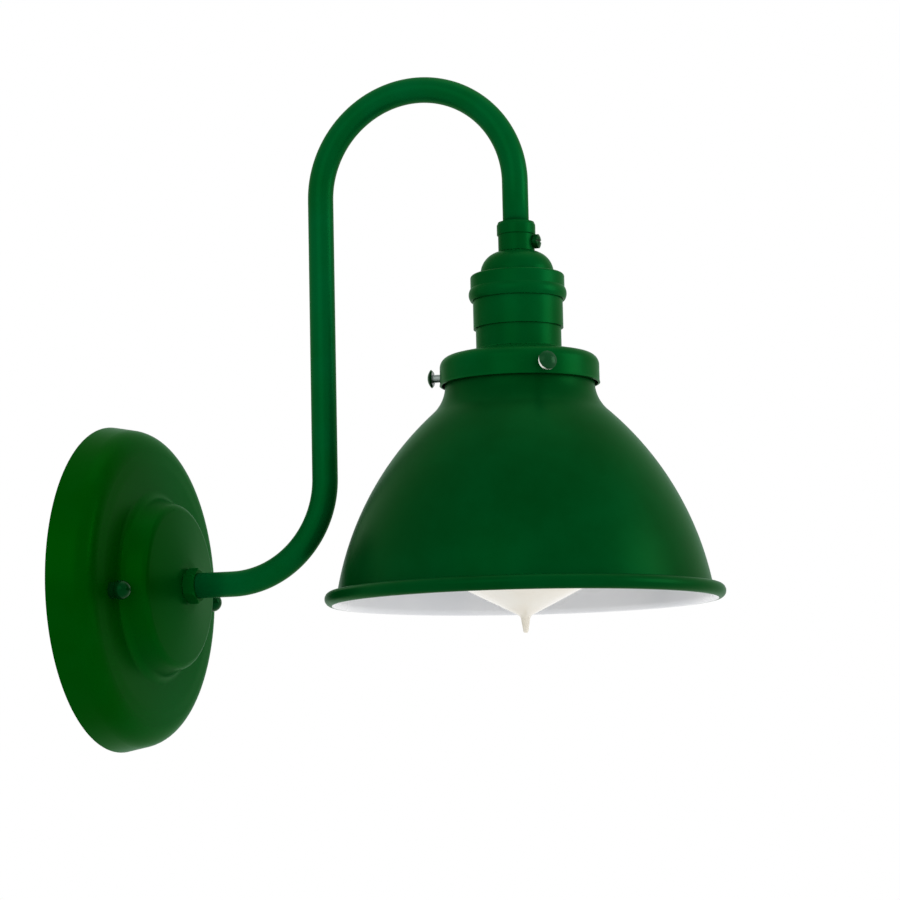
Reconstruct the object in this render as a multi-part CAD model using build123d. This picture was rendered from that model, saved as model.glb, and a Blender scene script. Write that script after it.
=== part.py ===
from build123d import *
import os
from math import asin, cos, radians, sin, sqrt

# Gooseneck wall sconce: a bent steel tube on a round wall plate carries a lampholder with a spun
# steel shade. Millimetres. +Z is up and -Y points out of the wall. The origin lies on the wall,
# midway between the two screws that hold the crossbar.
# Turned pieces are drawn as (radius, height) and spun about +Z. On the wall plate the height is
# the depth out of the wall; on the lampholder it is the real height.

# ---- Fits -------------------------------------------------------------------------------------
running_gap = 0.05      # radial gap round a shank, a tube or a lamp cap in its hole
hole_gap = 0.25         # radial gap round a screw in a plain hole
tip_gap = 0.25          # between a screw's tip and the round face that it clamps

# ---- Wall plate -------------------------------------------------------------------------------
plate_wall = 1.2
rim_r = 67.0
rim_draw = 3.2          # how far the rim's wall leans in
crown_rise = 16.6       # depth of the corner between the rim's wall and the crown
crown_corner = 10.0
crown_flat_r = 51.0     # where the crown turns flat, for the ball nuts
crown_depth = 17.6
crown_flat_fillet = 25.0
foot_r = 37.2
foot_fillet = 4.0
boss_r = 33.2
boss_fall = 3.4           # fall of the boss's face from its flat to its edge
boss_edge_fillet = 3.5
boss_flat_r = 10.0
boss_depth = 31.0
boss_top_fillet = 20.0

# ---- Crossbar and its fasteners ---------------------------------------------------------------
strap_length = 102.0
strap_width = 19.0
strap_thick = 2.4
strap_end_fillet = 4.0
box_screw_spacing = 69.85
slot_length = 10.0
slot_width = 4.6
lead_hole_r = 7.0
stud_spacing = 88.9
stud_r = 2.08
stud_grip = 6.0         # thread inside the ball nut
lock_nut_flats = 8.7
lock_nut_thick = 2.6
ball_r = 3.9
ball_neck_r = 3.3
ball_neck_length = 2.3
ball_hole_spare = 1.0
ground_screw_x = 19.0
ground_screw_r = 2.4
ground_head_flats = 7.9
ground_head_thick = 3.2
ground_flange_r = 4.8
ground_flange_thick = 0.8

# ---- Arm --------------------------------------------------------------------------------------
arm_rise = 3.8          # arm and wall plate above the crossbar's middle
tube_r = 5.2
tube_wall = 1.0
arm_reach = 91.7        # from the wall to the upright leg
bend_r = 41.0
crook_height = 155.3    # from the arm's root up to the centre of the crook
crook_r = 41.7
drop_leg = 27.5         # straight leg below the crook
nut_flats = 12.7
nut_thick = 5.0
back_nut_flats = 14.3
back_nut_thick = 4.0
nut_chamfer = 0.6
washer_r = 8.6
washer_thick = 1.0
tag_r = 7.4
tag_thick = 0.8
tag_tongue = 12.0
tag_tongue_width = 5.0
tag_lead_inset = 0.4    # lead's side to the tongue's end
tube_proud = 2.0        # tube end behind the back nut
bush_flange_thick = 1.0
bush_depth = 5.0
bush_wall = 0.7

# ---- Leads ------------------------------------------------------------------------------------
lead_r = 1.1
lead_spread = 1.3       # half the distance between the two leads in the tube
lead_turn_r = 3.4
lead_tail_depth = 12.0
lead_tail_spread = 10.0
lead_tail_drop = 26.0
lead_tail_turn_r = 7.0
copper_r = 0.5
copper_length = 6.0
ground_lead_r = 1.2
ground_lead_turn_r = 3.0

# ---- Socket -----------------------------------------------------------------------------------
neck_grip = 10.9        # tube inside the cap's neck
neck_r = 7.25
neck_height = 11.8
neck_bead_r = 7.7
neck_bead_height = 5.2
neck_bead_fillet = 1.4
dome_r = 8.9            # rounding of the cap's dome
cap_foot_r = 14.6
cap_skirt_r = 18.7
cap_skirt_height = 10.2
cap_shoulder_fillet = 1.2
cap_bead = 0.8
cap_bead_height = 5.0
cap_wall = 0.7
dome_slope_drop = 0.6
shell_gap = 0.15
shell_wall = 0.6
shell_lap = 6.0         # shell inside the cap's skirt
shell_shown = 11.2      # shell below the cap
nose_reach = 11.0       # threaded nose below the shell
nose_step = 1.2         # shell's inner face to the nose's outer face
sleeve_gap = 0.1
sleeve_wall = 0.8
sleeve_floor = 1.2      # sleeve's lower end above the shell's floor
core_gap = 0.1
core_drop = 1.4         # core's top below the cap's shoulder
core_roof = 3.0
core_floor = 2.2        # core's lower end above the shell's floor
screw_shell_wall = 0.45
screw_shell_length = 21.5
leaf_thick = 0.5
leaf_length = 17.0
leaf_width = 6.0
leaf_gap = 0.15
terminal_x = 8.5
terminal_shank_r = 1.3
terminal_head_r = 3.0
terminal_head_thick = 1.8
terminal_plate_thick = 0.8
terminal_depth = 2.0
set_screw_drop = 8.2    # below the top of the cap's neck
set_screw_r = 1.95
set_screw_head_r = 2.85
set_screw_head_thick = 2.5
set_screw_stand = 0.4   # head clear of the neck
set_screw_dome = 0.8
slot_cut_width = 0.9
slot_cut_depth = 1.1

# ---- Shade holder and thumbscrews -------------------------------------------------------------
holder_wall = 0.8
collar_wall = 0.8
collar_gap = 0.1
collar_height = 8.6
holder_r = 31.6
holder_height = 13.8
holder_slope = 3.3      # fall of the holder's top from collar to corner
holder_corner = 4.4
holder_lip = 0.2
holder_lip_height = 0.9
ring_r = 19.6
ring_height = 2.8
ring_lugs = 4
thumb_first_angle = 95.0
thumb_height = 4.2      # above the holder's lower edge
thumb_r = 1.6
thumb_head_r = 3.7
thumb_head_thick = 2.2
thumb_head_edge = 0.7
thumb_stand = 3.7       # bare shank between holder and head

# ---- Shade ------------------------------------------------------------------------------------
shade_wall = 1.0
shade_neck_r = 29.6
shade_neck_lap = 8.6    # neck inside the holder
shade_lip = 0.35
shade_lip_height = 1.4
flare_r = 16.0
flare_start = 0.4       # start of the flare above the holder's lower edge
flare_angle = 48.0      # from upright, where flare and dome meet
dome_arc_r = 122.6
shade_drop = 83.7       # from the holder's lower edge to the middle of the rolled rim
rim_bead_r = 2.8
rim_curl_angle = 300.0

# ---- Lamp -------------------------------------------------------------------------------------
lamp_cap_r = 13.0
lamp_cap_wall = 0.3
lamp_cap_length = 23.0
lamp_thread_gap = 0.07
insulator_height = 2.6
insulator_base_r = 11.0
insulator_top_r = 5.4
contact_r = 4.6
contact_height = 1.4
glass_wall = 0.8
glass_lap = 4.0         # glass inside the cap
glass_shoulder_r = 31.2
glass_belly_r = 30.0
glass_neck_straight = 16.0
glass_neck_fillet = 45.0
glass_shoulder_drop = 52.0
glass_shoulder_fillet = 60.0
glass_cone_height = 14.0  # from the foot of the glass tip up to the belly
glass_belly_fillet = 14.0
tip_drop = 104.0        # from the cap's lower edge to the foot of the glass tip
tip_r = 2.0
tip_fillet = 2.0
tip_end_r = 0.9
tip_length = 6.6
stem_wall = 1.2
stem_r = 3.4
stem_rod_r = 1.4
stem_flare_height = 12.0
stem_length = 34.0
stem_rod_length = 44.0
inner_lead_r = 0.4
inner_lead_spread = 2.0
support_count = 5
support_r = 0.3
upper_ring_r = 5.0
upper_ring_drop = 6.0   # upper supports below the stem
lower_ring_r = 9.0
lower_ring_rise = 2.0   # lower supports above the rod's end
support_hook = 0.8      # support past the filament
filament_r = 0.25

# ---- Places worked out from the sizes above ---------------------------------------------------
head_out = arm_reach + 2 * crook_r
crook_z = arm_rise + crook_height
tube_end_z = crook_z - drop_leg
cap_top_z = tube_end_z + neck_grip
dome_top_z = cap_top_z - neck_height
dome_centre_r = cap_foot_r - dome_r
shoulder_z = dome_top_z - dome_r
cap_bottom_z = shoulder_z - dome_slope_drop - cap_skirt_height
shell_r = cap_skirt_r - cap_wall - shell_gap
shell_bottom_z = cap_bottom_z - shell_shown
collar_top_z = shell_bottom_z
collar_bottom_z = collar_top_z - collar_height
nose_r = shell_r - shell_wall - nose_step
nose_bottom_z = shell_bottom_z - nose_reach
collar_r = nose_r + collar_gap + collar_wall
holder_bottom_z = collar_bottom_z - holder_height
core_top_z = shoulder_z - core_drop
core_roof_z = core_top_z - core_roof
lamp_top_z = core_roof_z - leaf_thick - leaf_gap
lamp_cap_bottom_z = lamp_top_z - contact_height - insulator_height - lamp_cap_length
screw_shell_r = lamp_cap_r + lamp_thread_gap + screw_shell_wall
shade_bead_z = holder_bottom_z - shade_drop
thumb_z = holder_bottom_z + thumb_height
boss_edge_depth = boss_depth - boss_fall
back_face = boss_depth - plate_wall
glass_neck_r = lamp_cap_r - lamp_cap_wall - running_gap
glass_belly_drop = tip_drop - glass_cone_height
tag_face = back_face - washer_thick
back_nut_face = tag_face - tag_thick
tube_back = back_nut_face - back_nut_thick - tube_proud
stem_end_z = lamp_cap_bottom_z - stem_length
upper_ring_z = stem_end_z - upper_ring_drop
lower_ring_z = stem_end_z - stem_rod_length + lower_ring_rise
cage_step = 360.0 / (2 * support_count + 1)


# ---- Helpers ----------------------------------------------------------------------------------
def turned(section):
    """Solid made by spinning a (radius, height) section about +Z."""
    return revolve(Plane.XZ * section, Axis.Z, 360)


def polygon_section(*points):
    """Section with straight sides."""
    return make_face(Polyline(*points, close=True))


def ring(inner, outer, low, high):
    """Plain ring between two heights."""
    return turned(polygon_section((inner, low), (outer, low), (outer, high), (inner, high)))


def disc(outer, low, high):
    """Plain round disc between two heights."""
    return Pos(0, 0, low) * extrude(Circle(outer), high - low)


def point_round(centre, radius, angle):
    """Point of a section at a radius and an angle about a centre."""
    return (centre[0] + radius * cos(angle), centre[1] + radius * sin(angle))


def shell_section(outline, wall, side):
    """Section between an open outline and its copy moved sideways by the wall."""
    return make_face(offset(outline, amount=wall, side=side, closed=True).edges())


def hex_nut(flats, thick, hole_r):
    """Hexagon nut on +Z from height 0, two corners on +Y and -Y, both faces chamfered."""
    corner_r = flats / sqrt(3)
    blank = extrude(RegularPolygon(corner_r, 6, rotation=30), thick)
    chamfer_drop = corner_r - flats / 2
    cone = turned(polygon_section(
        (0, 0), (flats / 2, 0), (corner_r, chamfer_drop * nut_chamfer),
        (corner_r, thick - chamfer_drop * nut_chamfer), (flats / 2, thick), (0, thick)))
    return (blank & cone) - disc(hole_r, 0, thick)


def facing_out(shape, depth=0.0, x=0.0, z=0.0):
    """Turns a piece drawn on +Z to point out of the wall, and stands it at a depth."""
    return Pos(x, -depth, z) * Rot(90, 0, 0) * shape


def at_root(shape, depth, x=0.0):
    """Faces a piece out of the wall at the height of the arm's root."""
    return facing_out(shape, depth, x, arm_rise)


def on_head(shape):
    """Moves a piece drawn round the Z axis to the lampholder's axis."""
    return Pos(0, -head_out, 0) * shape


def pointing(shape, angle, out, height):
    """Turns a piece drawn on +Z to point sideways from the lampholder's axis."""
    return on_head(Rot(0, 0, angle) * Pos(out, 0, height) * Rot(0, 90, 0) * shape)


def rod_between(start, end, radius):
    """Straight round rod between two points."""
    return sweep(Plane(origin=start, z_dir=Vector(*end) - Vector(*start)) * Circle(radius), Line(start, end))


def save(shape, name):
    """Writes one named piece, and says how many solids it has."""
    shape.label = name
    export_step(shape, "parts/" + name + ".step")
    print(name, len(shape.solids()), round(shape.volume, 1))


# ---- Wall plate -------------------------------------------------------------------------------
def make_canopy():
    outline = FilletPolyline(
        (rim_r, 0), (rim_r - rim_draw, crown_rise), (crown_flat_r, crown_depth), (foot_r, crown_depth),
        (boss_r, boss_edge_depth), (boss_flat_r, boss_depth), (0, boss_depth),
        radius=(crown_corner, crown_flat_fillet, foot_fillet, boss_edge_fillet, boss_top_fillet))
    pan = turned(shell_section(outline, plate_wall, Side.LEFT))
    over_wall = Pos(0, 0, boss_depth) * Cylinder(2 * rim_r, 2 * boss_depth)
    pan = pan & over_wall
    pan -= disc(tube_r + hole_gap, 0, 2 * boss_depth)
    for side in (-1, 1):
        pan -= Pos(side * stud_spacing / 2, -arm_rise, 0) * disc(stud_r + hole_gap, 0, 2 * boss_depth)
    return at_root(pan, 0)


def make_crossbar():
    strap = extrude(RectangleRounded(strap_length, strap_width, strap_end_fillet), strap_thick)
    strap -= disc(lead_hole_r, 0, strap_thick)
    for side in (-1, 1):
        slot = SlotOverall(slot_length, slot_width)
        strap -= Pos(side * box_screw_spacing / 2, 0, 0) * extrude(slot, strap_thick)
        strap -= Pos(side * stud_spacing / 2, 0, 0) * disc(stud_r + running_gap, 0, strap_thick)
    strap -= Pos(ground_screw_x, arm_rise, 0) * disc(ground_screw_r + running_gap, 0, strap_thick)
    return facing_out(strap)


def make_studs():
    length = crown_depth + stud_grip
    return Compound([facing_out(disc(stud_r, 0, length), 0, side * stud_spacing / 2) for side in (-1, 1)])


def make_stud_lock_nuts():
    nut = hex_nut(lock_nut_flats, lock_nut_thick, stud_r + running_gap)
    return Compound([facing_out(nut, strap_thick, side * stud_spacing / 2) for side in (-1, 1)])


def make_ball_nut(side):
    ball_centre = ball_neck_length + sqrt(ball_r ** 2 - ball_neck_r ** 2)
    neck = disc(ball_neck_r, 0, ball_centre)
    nut = neck + Pos(0, 0, ball_centre) * Sphere(ball_r)
    nut -= disc(stud_r + running_gap, 0, stud_grip + ball_hole_spare)
    return facing_out(nut, crown_depth, side * stud_spacing / 2)


def make_ground_screw():
    head = hex_nut(ground_head_flats, ground_head_thick, 0.3)
    head += disc(0.4 * ground_head_flats, 0, ground_head_thick - nut_chamfer)
    screw = Pos(0, 0, ground_flange_thick) * head + disc(ground_flange_r, 0, ground_flange_thick)
    screw += disc(ground_screw_r, -strap_thick - 2 * copper_r, 0)
    return at_root(screw, strap_thick + 2 * copper_r, ground_screw_x)


def make_ground_lead():
    """Lead from the rear of the earth tag's tongue to the ground screw."""
    x = tag_tongue - ground_lead_r - tag_lead_inset
    low = -(strap_thick + ground_lead_r + running_gap)
    end_x = ground_screw_x - ground_flange_r - running_gap
    route = FilletPolyline(
        (x, -back_nut_face, arm_rise), (x, low, arm_rise), (end_x, low, arm_rise), radius=ground_lead_turn_r)
    return sweep(Plane(origin=route @ 0, z_dir=(0, 1, 0)) * Circle(ground_lead_r), route)


# ---- Arm --------------------------------------------------------------------------------------
def arm_route(x, start, end_z):
    """Middle line of the arm in the plane at x, from behind the plate to above the lamp."""
    bend_out = arm_reach - bend_r
    bend_mid = (x, -bend_out - bend_r * sin(radians(45)), arm_rise + bend_r * (1 - cos(radians(45))))
    root = Line((x, -start, arm_rise), (x, -bend_out, arm_rise))
    bend = ThreePointArc(root @ 1, bend_mid, (x, -arm_reach, arm_rise + bend_r))
    leg = Line(bend @ 1, (x, -arm_reach, crook_z))
    crook = ThreePointArc(leg @ 1, (x, -arm_reach - crook_r, crook_z + crook_r), (x, -head_out, crook_z))
    drop = Line(crook @ 1, (x, -head_out, end_z))
    return Wire([root.edge(), bend.edge(), leg.edge(), crook.edge(), drop.edge()])


def make_arm_tube():
    start = Plane(origin=(0, -tube_back, arm_rise), z_dir=(0, -1, 0))
    section = start * (Circle(tube_r) - Circle(tube_r - tube_wall))
    return sweep(section, arm_route(0, tube_back, tube_end_z))


def make_arm_hex_nut():
    return at_root(hex_nut(nut_flats, nut_thick, tube_r + running_gap), boss_depth)


def make_arm_lock_washer():
    return at_root(ring(tube_r + running_gap, washer_r, 0, washer_thick), tag_face)


def make_earth_tag():
    eye = disc(tag_r, 0, tag_thick)
    tongue = Pos(tag_tongue / 2, 0, tag_thick / 2) * Box(tag_tongue, tag_tongue_width, tag_thick)
    tag = eye + tongue - disc(tube_r + running_gap, 0, tag_thick)
    return at_root(tag, back_nut_face)


def make_arm_back_nut():
    nut = hex_nut(back_nut_flats, back_nut_thick, tube_r + running_gap)
    return at_root(nut, back_nut_face - back_nut_thick)


def make_tube_bushing():
    bore = tube_r - tube_wall - running_gap - bush_wall
    plug = ring(bore, tube_r - tube_wall - running_gap, 0, bush_depth)
    flange = ring(bore, tube_r, -bush_flange_thick, 0)
    return at_root(plug + flange, tube_back)


# ---- Leads ------------------------------------------------------------------------------------
def lead_end_z():
    """Height of the copper ends on the terminals."""
    return core_top_z + terminal_plate_thick + copper_r


def make_lead(side):
    x = side * lead_spread
    start_x = side * (terminal_x - terminal_head_r - running_gap)
    level = core_top_z + lead_r + running_gap
    rise = Line((x, -head_out, level + lead_turn_r), (x, -head_out, tube_end_z))
    turn_mid = (x + side * lead_turn_r * (1 - cos(radians(45))), -head_out, level + lead_turn_r * (1 - sin(radians(45))))
    turn = ThreePointArc((x + side * lead_turn_r, -head_out, level), turn_mid, rise @ 0)
    first = Line((start_x, -head_out, level), turn @ 0)
    run = arm_route(x, lead_tail_depth + lead_tail_turn_r, tube_end_z)
    head_route = Wire([first.edge(), turn.edge(), rise.edge()])
    head = sweep(Plane(origin=first @ 0, z_dir=(-side, 0, 0)) * Circle(lead_r), head_route)
    root_plane = Plane(origin=(x, -(lead_tail_depth + lead_tail_turn_r), arm_rise), z_dir=(0, -1, 0))
    middle = sweep(root_plane * Circle(lead_r), run)
    tail_route = FilletPolyline(
        (x, -(lead_tail_depth + lead_tail_turn_r), arm_rise), (x, -lead_tail_depth, arm_rise),
        (side * lead_tail_spread, -lead_tail_depth, arm_rise - lead_tail_drop), radius=lead_tail_turn_r * 0.9)
    tail = sweep(Plane(origin=tail_route @ 0, z_dir=(0, 1, 0)) * Circle(lead_r), tail_route)
    return head + middle + tail


def make_lead_ends():
    ends = []
    for side in (-1, 1):
        level = lead_end_z()
        outer = (side * (terminal_x - terminal_shank_r - running_gap), -head_out, level)
        inner = (side * (terminal_x - terminal_head_r - running_gap), -head_out, level)
        ends.append(rod_between(inner, outer, copper_r))
        foot = Vector(side * lead_tail_spread, -lead_tail_depth, arm_rise - lead_tail_drop)
        heading = (foot - Vector(side * lead_spread, -lead_tail_depth, arm_rise)).normalized()
        ends.append(rod_between(tuple(foot), tuple(foot + heading * copper_length), copper_r))
    low = -(strap_thick + copper_r)
    left = ground_screw_x - ground_flange_r - running_gap
    right = ground_screw_x - ground_screw_r - running_gap
    ends.append(rod_between((left, low, arm_rise), (right, low, arm_rise), copper_r))
    return Compound(ends)


# ---- Socket -----------------------------------------------------------------------------------
def cap_outer():
    """Outer solid of the cap: beaded neck, dome, shoulder and beaded skirt."""
    neck = disc(neck_r, dome_top_z, cap_top_z)
    bead = disc(neck_bead_r, cap_top_z - neck_bead_height, cap_top_z)
    bead = fillet(bead.edges().sort_by(Axis.Z)[-1], neck_bead_fillet)
    bead = fillet(bead.edges().sort_by(Axis.Z)[0], (neck_bead_r - neck_r) * 0.9)
    dome_mid = (dome_centre_r + dome_r * sin(radians(45)), shoulder_z + dome_r * cos(radians(45)))
    arc = ThreePointArc((dome_centre_r, dome_top_z), dome_mid, (cap_foot_r, shoulder_z))
    cap_edge_z = shoulder_z - dome_slope_drop
    sides = Polyline(
        (cap_foot_r, shoulder_z), (cap_skirt_r, cap_edge_z), (cap_skirt_r, cap_bottom_z),
        (0, cap_bottom_z), (0, dome_top_z), (dome_centre_r, dome_top_z))
    body = turned(make_face(arc.edges() + sides.edges()))
    corner = body.edges().filter_by(lambda e: abs(e.center().Z - cap_edge_z) < 0.01 and e.length > 6 * cap_skirt_r)
    body = fillet(corner, cap_shoulder_fillet)
    bead_r = (cap_bead ** 2 + (cap_bead_height / 2) ** 2) / (2 * cap_bead)
    bead_middle = cap_bottom_z + cap_bead_height / 2
    roll = turned(Pos(cap_skirt_r + cap_bead - bead_r, bead_middle) * Circle(bead_r))
    roll = roll & ring(cap_skirt_r - 0.2, cap_skirt_r + cap_bead + 1, cap_bottom_z, cap_bottom_z + cap_bead_height)
    return neck + bead + body + roll


def make_socket_cap():
    inner_foot = cap_foot_r - cap_wall
    inner_r = dome_r - cap_wall
    mid = (dome_centre_r + inner_r * sin(radians(45)), shoulder_z + inner_r * cos(radians(45)))
    arc = ThreePointArc((dome_centre_r, shoulder_z + inner_r), mid, (inner_foot, shoulder_z))
    inner_edge_z = shoulder_z - dome_slope_drop - cap_wall
    sides = Polyline(
        (inner_foot, shoulder_z), (inner_foot, inner_edge_z), (cap_skirt_r - cap_wall, inner_edge_z),
        (cap_skirt_r - cap_wall, cap_bottom_z), (0, cap_bottom_z), (0, shoulder_z + inner_r),
        (dome_centre_r, shoulder_z + inner_r))
    hollow = turned(make_face(arc.edges() + sides.edges()))
    cap = cap_outer() - hollow
    cap -= disc(tube_r + running_gap, tube_end_z, cap_top_z)
    cap -= disc(tube_r - tube_wall, shoulder_z, cap_top_z)
    cap = on_head(cap)
    hole = disc(set_screw_r + running_gap, 0, neck_bead_r + 1)
    return cap - pointing(hole, -90, 0, cap_top_z - set_screw_drop)


def make_cap_set_screw():
    tip = tube_r + tip_gap
    head_face = neck_r + set_screw_stand
    shank = disc(set_screw_r, 0, head_face - tip + 0.5 * set_screw_head_thick)
    rounding_r = (set_screw_dome ** 2 + set_screw_head_r ** 2) / (2 * set_screw_dome)
    ball = Pos(0, 0, head_face - tip + set_screw_head_thick - rounding_r) * Sphere(rounding_r)
    head = disc(set_screw_head_r, head_face - tip, head_face - tip + set_screw_head_thick) & ball
    screw = shank + head
    top = head_face - tip + set_screw_head_thick
    screw -= Pos(0, 0, top) * Box(slot_cut_width, 4 * set_screw_head_r, 2 * slot_cut_depth)
    return pointing(screw, -90, tip, cap_top_z - set_screw_drop)


def make_socket_shell():
    outline = Polyline(
        (shell_r, cap_bottom_z + shell_lap), (shell_r, shell_bottom_z), (nose_r, shell_bottom_z),
        (nose_r, nose_bottom_z))
    inner = Polyline(
        (nose_r - shell_wall, nose_bottom_z), (nose_r - shell_wall, shell_bottom_z + shell_wall),
        (shell_r - shell_wall, shell_bottom_z + shell_wall), (shell_r - shell_wall, cap_bottom_z + shell_lap))
    foot = Line(outline @ 1, inner @ 0)
    top = Line(inner @ 1, outline @ 0)
    shell = turned(make_face(outline.edges() + foot.edges() + inner.edges() + top.edges()))
    return on_head(shell)


def make_insulating_sleeve():
    outer = shell_r - shell_wall - sleeve_gap
    low = shell_bottom_z + shell_wall + sleeve_floor
    return on_head(ring(outer - sleeve_wall, outer, low, cap_bottom_z + shell_lap))


def make_socket_core():
    outer = shell_r - shell_wall - sleeve_gap - sleeve_wall - core_gap
    low = shell_bottom_z + shell_wall + core_floor
    core = disc(outer, low, core_top_z)
    core -= disc(screw_shell_r + running_gap, low, core_roof_z)
    for side in (-1, 1):
        core -= Pos(side * terminal_x, 0, 0) * disc(terminal_shank_r + running_gap, core_roof_z, core_top_z)
    return on_head(core)


def make_screw_shell():
    top = core_roof_z - 2 * leaf_thick
    return on_head(ring(screw_shell_r - screw_shell_wall, screw_shell_r, top - screw_shell_length, top))


def make_centre_contact():
    leaf = extrude(SlotOverall(leaf_length, leaf_width), leaf_thick)
    leaf -= Pos(terminal_x, 0, 0) * disc(terminal_shank_r + running_gap, 0, leaf_thick)
    leaf = leaf & disc(screw_shell_r - screw_shell_wall - 2 * lamp_thread_gap, 0, leaf_thick)
    return on_head(Pos(0, 0, core_roof_z - leaf_thick) * leaf)


def make_terminal_plates():
    plate = Box(2 * terminal_head_r, 2 * terminal_head_r, terminal_plate_thick)
    plate -= Cylinder(terminal_shank_r + running_gap, terminal_plate_thick)
    level = core_top_z + terminal_plate_thick / 2
    return Compound([on_head(Pos(side * terminal_x, 0, level) * plate) for side in (-1, 1)])


def make_terminal_screws():
    head_low = core_top_z + terminal_plate_thick + 2 * copper_r
    head = disc(terminal_head_r, head_low, head_low + terminal_head_thick)
    head -= Pos(0, 0, head_low + terminal_head_thick) * Box(4 * terminal_head_r, slot_cut_width, slot_cut_depth)
    screw = head + disc(terminal_shank_r, head_low - terminal_plate_thick - terminal_depth - 2 * copper_r, head_low)
    return Compound([on_head(Pos(side * terminal_x, 0, 0) * screw) for side in (-1, 1)])


# ---- Shade holder and thumbscrews -------------------------------------------------------------
def holder_top_at(radius):
    """Height of the holder's outer face at a radius on its sloping top."""
    return collar_bottom_z - holder_slope * (radius - collar_r) / (holder_r - collar_r)


def make_shade_holder():
    outline = FilletPolyline(
        (collar_r, collar_top_z), (collar_r, collar_bottom_z), (holder_r, holder_top_at(holder_r)),
        (holder_r, holder_bottom_z + holder_lip_height), (holder_r + holder_lip, holder_bottom_z),
        radius=(0.6, holder_corner, 0.5))
    holder = on_head(turned(shell_section(outline, holder_wall, Side.RIGHT)))
    for angle in thumb_angles():
        holder -= pointing(disc(thumb_r + running_gap, 0, 2 * holder_wall), angle, holder_r - 1.5 * holder_wall, thumb_z)
    return holder


def make_clamp_ring():
    seat = holder_top_at(ring_r) - 1.1 * holder_wall
    ring_body = ring(nose_r + running_gap, ring_r, seat - ring_height, seat)
    for turn in range(ring_lugs):
        notch = Pos(ring_r, 0, seat) * Box(2 * holder_wall, 4 * holder_wall, 4 * ring_height)
        ring_body -= Rot(0, 0, 45 + turn * 360 / ring_lugs) * notch
    return on_head(ring_body)


def thumb_angles():
    return [thumb_first_angle + turn * 120.0 for turn in range(3)]


def make_thumbscrew(angle):
    tip = shade_neck_r + tip_gap
    head_face = holder_r + thumb_stand
    shank = disc(thumb_r, 0, head_face - tip + 0.2)
    front = thumb_head_thick
    head_outline = Polyline((thumb_head_r, thumb_head_edge), (thumb_head_r - thumb_head_edge, 0), (0, 0), (0, front))
    dome = ThreePointArc((0, front), (thumb_head_r * 0.55, front * 0.87), (thumb_head_r, thumb_head_edge))
    head = turned(make_face(head_outline.edges() + dome.edges()))
    screw = shank + Pos(0, 0, head_face - tip) * head
    return pointing(screw, angle, tip, thumb_z)


# ---- Shade ------------------------------------------------------------------------------------
def shade_face(shift):
    """Neck, flare, dome and curl of the sheet as tangent arcs, at a shift outside its inner face."""
    lean = radians(flare_angle)
    neck_axis_r = shade_neck_r - shade_wall
    flare_centre = (neck_axis_r + flare_r + shade_wall, holder_bottom_z + flare_start)
    dome_inner_r = dome_arc_r - shade_wall
    centre_step = flare_r + shade_wall + dome_inner_r
    dome_centre = (flare_centre[0] - centre_step * cos(lean), flare_centre[1] - centre_step * sin(lean))
    mouth = asin((shade_bead_z - dome_centre[1]) / (dome_inner_r + rim_bead_r))
    bead_centre = point_round(dome_centre, dome_inner_r + rim_bead_r, mouth)
    flare_face_r = flare_r + shade_wall - shift
    dome_face_r = dome_inner_r + shift
    curl_face_r = rim_bead_r - shift
    flare_start_point = point_round(flare_centre, flare_face_r, radians(180))
    dome_start = point_round(dome_centre, dome_face_r, lean)
    curl_start = point_round(dome_centre, dome_face_r, mouth)
    curl_turn = radians(rim_curl_angle)
    neck = Line((flare_start_point[0], holder_bottom_z + shade_neck_lap), flare_start_point)
    flare = ThreePointArc(
        flare_start_point, point_round(flare_centre, flare_face_r, radians(180) + lean / 2), dome_start)
    dome = ThreePointArc(dome_start, point_round(dome_centre, dome_face_r, (lean + mouth) / 2), curl_start)
    curl = ThreePointArc(
        curl_start, point_round(bead_centre, curl_face_r, mouth + radians(180) + curl_turn / 2),
        point_round(bead_centre, curl_face_r, mouth + radians(180) + curl_turn))
    return Wire([neck.edge(), flare.edge(), dome.edge(), curl.edge()])


def make_shade():
    inner = shade_face(0)
    outer = shade_face(shade_wall)
    top = Line(inner @ 0, outer @ 0)
    end = Line(outer @ 1, inner @ 1)
    sheet = turned(make_face(inner.edges() + end.edges() + outer.edges() + top.edges()))
    neck_top = holder_bottom_z + shade_neck_lap
    lip = ring(shade_neck_r - 0.5 * shade_wall, shade_neck_r + shade_lip, neck_top - shade_lip_height, neck_top)
    return on_head(sheet + lip)


# ---- Lamp -------------------------------------------------------------------------------------
def make_lamp_glass():
    top = lamp_cap_bottom_z + glass_lap
    edge = lamp_cap_bottom_z
    tip_z = edge - tip_drop
    outline = FilletPolyline(
        (glass_neck_r, top), (glass_neck_r, edge - glass_neck_straight), (glass_shoulder_r, edge - glass_shoulder_drop),
        (glass_belly_r, edge - glass_belly_drop), (tip_r, tip_z), (tip_end_r, tip_z - tip_length), (0, tip_z - tip_length),
        radius=(glass_neck_fillet, glass_shoulder_fillet, glass_belly_fillet, tip_fillet, tip_end_r * 0.8))
    axis_line = Line((0, tip_z - tip_length), (0, top))
    lid = Line((0, top), (glass_neck_r, top))
    outer = turned(make_face(outline.edges() + axis_line.edges() + lid.edges()))
    wall = glass_wall
    floor_z = tip_z + 2 * wall
    inside = FilletPolyline(
        (glass_neck_r - wall, top), (glass_neck_r - wall, edge - glass_neck_straight),
        (glass_shoulder_r - wall, edge - glass_shoulder_drop), (glass_belly_r - wall, edge - glass_belly_drop + 0.5 * wall),
        (0, floor_z), radius=(glass_neck_fillet, glass_shoulder_fillet, glass_belly_fillet - wall))
    inside_axis = Line((0, floor_z), (0, top))
    inside_lid = Line((0, top), (glass_neck_r - wall, top))
    return on_head(outer - turned(make_face(inside.edges() + inside_axis.edges() + inside_lid.edges())))


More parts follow.
